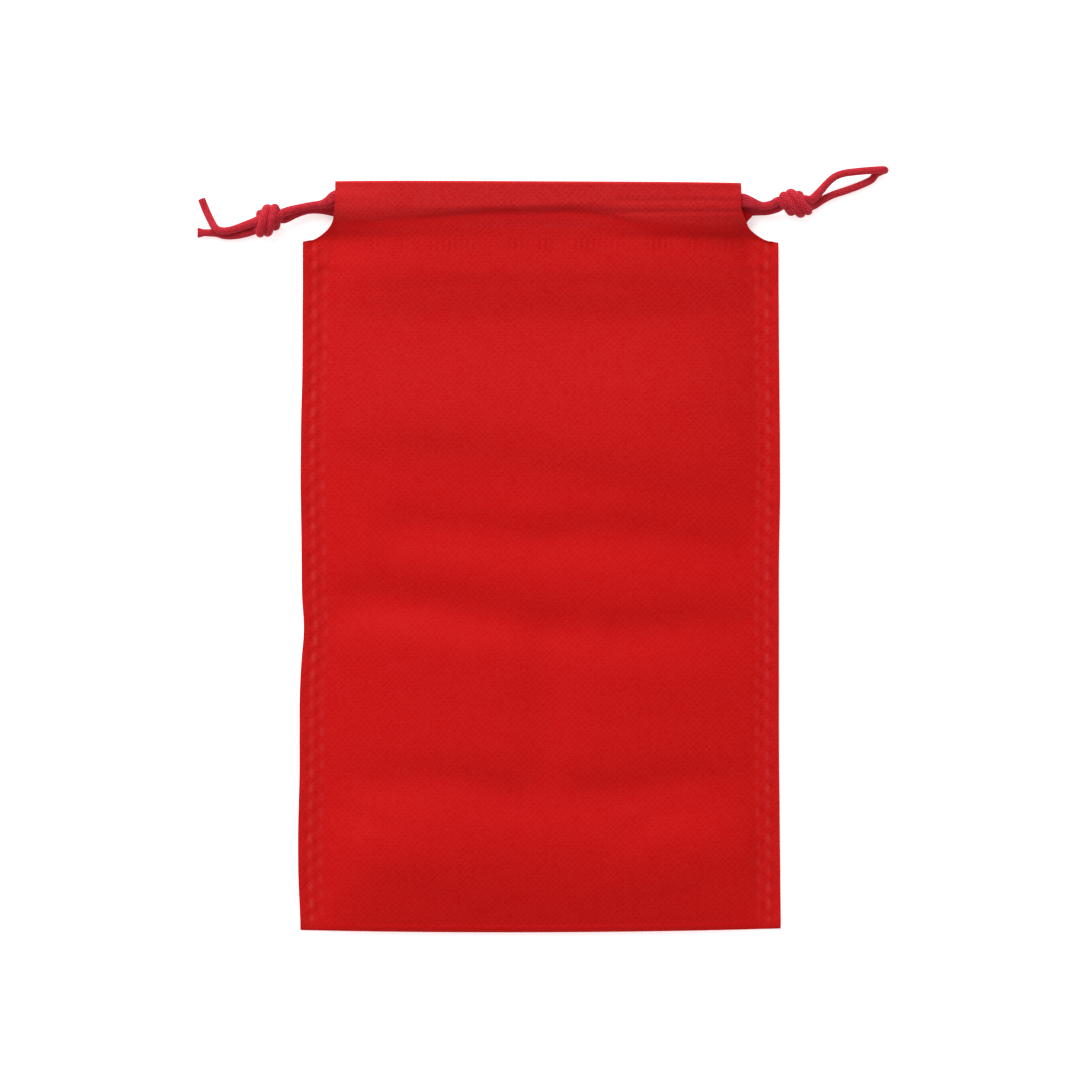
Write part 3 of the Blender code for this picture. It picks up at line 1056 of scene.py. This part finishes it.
# Routes of the cord's free stretches, each outwards from the casing or the knot.
LEFT_LEAD_FRONT = [
    (-61, 115, 6.3), (-63.6, 115.5, 6.3), (-65.8, 115.05, 6.2), (-67.6, 113.9, 6), (-69.8, 113, 5.5),
    (-73.2, 112.5, 5), (-77.4, 111.6, 5.3), (-82.3, 110, 6.3),
]
LEFT_LEAD_BACK = [
    (-61, 111, 2.05), (-63.4, 111.1, 2.05), (-65.3, 111.1, 2), (-67.4, 111.2, 1.9), (-70.4, 111.2, 1.7),
    (-74.2, 111.1, 1.65), (-78.2, 109.9, 2.1), (-82.3, 108.2, 3.1),
]
LEFT_TAIL_UPPER = [
    (-91.8, 107.1, 3.9), (-95.2, 105.9, 3.2), (-98.6, 104.8, 3.4), (-101.6, 104.4, 4),
    (-103.9, 105.3, 3.7), (-105.7, 108.3, 2.2), (-107.2, 111.5, 1.4), (-108.5, 114.8, 1.35),
]
LEFT_TAIL_LOWER = [
    (-91.3, 104.8, 1.9), (-94.9, 103.6, 1.5), (-97.9, 103, 1.45), (-101, 103, 1.4),
    (-103.6, 103.7, 1.4), (-106.2, 103.9, 1.45), (-109.8, 103.9, 1.6),
]
RIGHT_LEAD_FRONT = [
    (61, 114, 6.3), (63.4, 114.1, 6.3), (65.4, 114, 6.2), (67.9, 113.3, 5.8), (71.2, 112.4, 5.3),
    (74.2, 112.8, 5.4), (76.5, 113.9, 6.1),
]
RIGHT_LEAD_BACK = [
    (61, 111.2, 2.05), (63.4, 111.3, 2.05), (65.6, 111.3, 2), (68.6, 110.9, 1.8), (72, 110.7, 1.8),
    (75, 111.4, 2.5), (77, 112.3, 3.4),
]
RIGHT_LOOP = [
    (86.8, 114.4, 4.4), (89.6, 117, 4.1), (91.7, 119.4, 4), (94.2, 121.6, 4), (97.2, 122.8, 3.9),
    (101.6, 123.4, 4), (106.4, 123.8, 4.2), (109.6, 124, 3.9), (110.5, 123.9, 2.6), (109.2, 123.5, 1.5),
    (107.6, 122.6, 1.35), (106.2, 120.9, 1.35), (103, 119.3, 1.35), (98.5, 117.6, 1.35),
    (94, 116.1, 1.35), (90.4, 114.4, 1.35), (87.4, 112.6, 1.8),
]


@dataclass
class DrawCord:
    """The one cord: two runs in the casings, leads, knots, tails and the pull loop."""

    form: SheetForm
    tube: CordTube
    left_knot: DoubledKnot
    right_knot: DoubledKnot
    exit_x: float = 65.3
    run_end: float = 61.0
    front_run_y: float = 114.5
    back_run_y: float = 111.1
    run_z: float = 2.05
    lead_end: dict = field(default_factory=lambda: {-1: 82.0, 1: 76.0})

    def declare(self, obj: bpy.types.Object, path: list, side: int) -> None:
        """Bake a free stretch's placement into its mesh and log its length."""
        side * self.exit_x * MM
        side * self.lead_end[side] * MM
        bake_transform(obj)
        length = sum((b - a).length for a, b in zip(path, path[1:]))
        self.tube.diameter * MM
        LOG.info("%s: %.1f mm of cord, %d faces", obj.name, length / MM, len(obj.data.polygons))

    def shape(self, start: float, end: float, place: Vector, rise: float) -> float:
        """Radius factor of a strand: pressed flat where it leaves the casing, full in its knot."""
        pressed = 1.0 - float(smooth_step(start, 3.0, 11.0))
        near = min((place - Vector(knot.centre)).length for knot in (self.left_knot, self.right_knot))
        full = 1.0 - float(smooth_step(near, 3.6, 5.6))
        loose = 1.0 - float(smooth_step(near, 6.0, 13.0))
        return 1.0 + pressed * (0.96 * (1 - rise * rise) - 0.12) + 0.10 * full + 0.17 * loose

    def ringed(self, start: float, end: float, place: Vector, rise: float) -> float:
        """Radius factor of the cord with the loop, which leaves the casings at both ends."""
        return self.shape(min(start, end), end, place, rise)

    def frayed(self, start: float, end: float, place: Vector, rise: float) -> float:
        """Radius factor of the lower strand, which flares at its cut end."""
        neck = 1.0 - float(smooth_step(end, 0.0, 4.5))
        flare = (1.0 - float(smooth_step(end, 0.0, 2.6))) * (1 - 0.5 * rise * rise)
        return self.shape(start, end, place, rise) * (1.0 - 0.14 * neck + 0.50 * flare)

    def make(self) -> None:
        """Build every stretch."""
        upper = LEFT_LEAD_FRONT + self.left_knot.strand(0) + LEFT_TAIL_UPPER
        lower = LEFT_LEAD_BACK + self.left_knot.strand(180) + LEFT_TAIL_LOWER
        piece, path = self.tube.build("cord_left_upper", upper, self.shape)
        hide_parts("left_lead_front", "left_knot", "left_tail_upper")
        self.declare(piece, path, -1)
        piece, path = self.tube.build("cord_left_lower", lower, self.frayed)
        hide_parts("left_lead_back", "left_tail_lower")
        self.declare(piece, path, -1)
        ring = RIGHT_LEAD_FRONT + self.right_knot.strand(0) + RIGHT_LOOP
        ring += self.right_knot.strand(180)[::-1] + RIGHT_LEAD_BACK[::-1]
        piece, path = self.tube.build("cord_right_loop", ring, self.ringed)
        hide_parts("right_lead_front", "right_lead_back", "right_knot", "right_loop")
        self.declare(piece, path, 1)
        self.make_runs()

    def make_runs(self) -> None:
        """The hidden runs inside the casings: the back one straight, the front one in two halves."""
        end = self.run_end
        route = [(x, self.back_run_y, self.run_z) for x in (-end, 0, end)]
        back, _ = self.tube.build("cord_back_run", route)
        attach(back, Body.BACK.value)
        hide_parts("back_cord_run")
        LOG.info("%s: %d faces", back.name, len(back.data.polygons))
        for name, side in (("cord_front_run_left", -1), ("cord_front_run_right", 1)):
            places = np.linspace(0.0, end, 14) * side
            under = self.form.under(places, np.full_like(places, self.front_run_y))
            route = [(x, self.front_run_y, z + self.run_z) for x, z in zip(places, under)]
            half, _ = self.tube.build(name, route)
            follow_front(half)
            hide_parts("front_cord_run")
            LOG.info("%s: %d faces", half.name, len(half.data.polygons))


# ---- studio


@dataclass(frozen=True)
class Studio:
    """Floor, soft light and the camera straight above the sack."""

    view_size: float = 0.3456
    view_centre_y: float = 0.00544
    distance: float = 2.4
    plane_z: float = 0.005
    sensor: float = 36.0
    floor_size: float = 3.0
    floor_drop: float = 0.0002
    sky: float = 0.77
    key_place: tuple = (-0.50, 1.25, 1.02)
    key_size: float = 1.2
    key_watts: float = 30.0

    def make(self) -> None:
        """Set up the floor, the lights and the camera."""
        bm = bmesh.new()
        bmesh.ops.create_grid(bm, x_segments=1, y_segments=1, size=self.floor_size)
        floor = new_object("floor", bm)
        floor.data.transform(Matrix.Translation((0, 0, -self.floor_drop)))
        floor.data.materials.append(FloorFinish().material())
        world = bpy.data.worlds.new("studio")
        world.use_nodes = True
        background = world.node_tree.nodes["Background"]
        background.inputs["Color"].default_value = (1.0, 1.0, 1.0, 1.0)
        background.inputs["Strength"].default_value = self.sky
        bpy.context.scene.world = world
        self.light("key", self.key_place, self.key_size, self.key_watts)
        camera = bpy.data.cameras.new("camera")
        camera.sensor_width = self.sensor
        camera.lens = self.sensor * (self.distance - self.plane_z) / self.view_size
        camera.clip_end = 20.0
        obj = bpy.data.objects.new("camera", camera)
        obj.location = (0.0, self.view_centre_y, self.distance)
        bpy.context.scene.collection.objects.link(obj)
        bpy.context.scene.camera = obj
        bpy.context.scene.view_settings.view_transform = "Standard"

    @staticmethod
    def light(name: str, place: tuple, size: float, watts: float) -> None:
        """A square soft light aimed at the sack."""
        lamp = bpy.data.lights.new(name, "AREA")
        lamp.size = size
        lamp.energy = watts
        obj = bpy.data.objects.new(name, lamp)
        obj.location = place
        obj.rotation_euler = (-Vector(place)).to_track_quat("-Z", "Y").to_euler()
        bpy.context.scene.collection.objects.link(obj)


def main() -> None:
    """Build the whole scene, camera and cords first."""
    logging.basicConfig(level=logging.INFO, format="%(name)s %(message)s")
    Studio().make()
    form = SheetForm()
    cord = DrawCord(form, CordTube(BraidFinish().material()),
                    DoubledKnot((-87.0, 107.8, 5.0), (-0.914, -0.406, 0.0),
                                wrap_radius=3.35, lean=-1.5, hand=-1),
                    DoubledKnot((81.6, 113.2, 5.0), (1.0, 0.05, 0.0), lean=-1.5))
    cord.make()
    FoldedSheet(form, SpunbondFinish().material()).make()


if __name__ == "__main__":
    main()
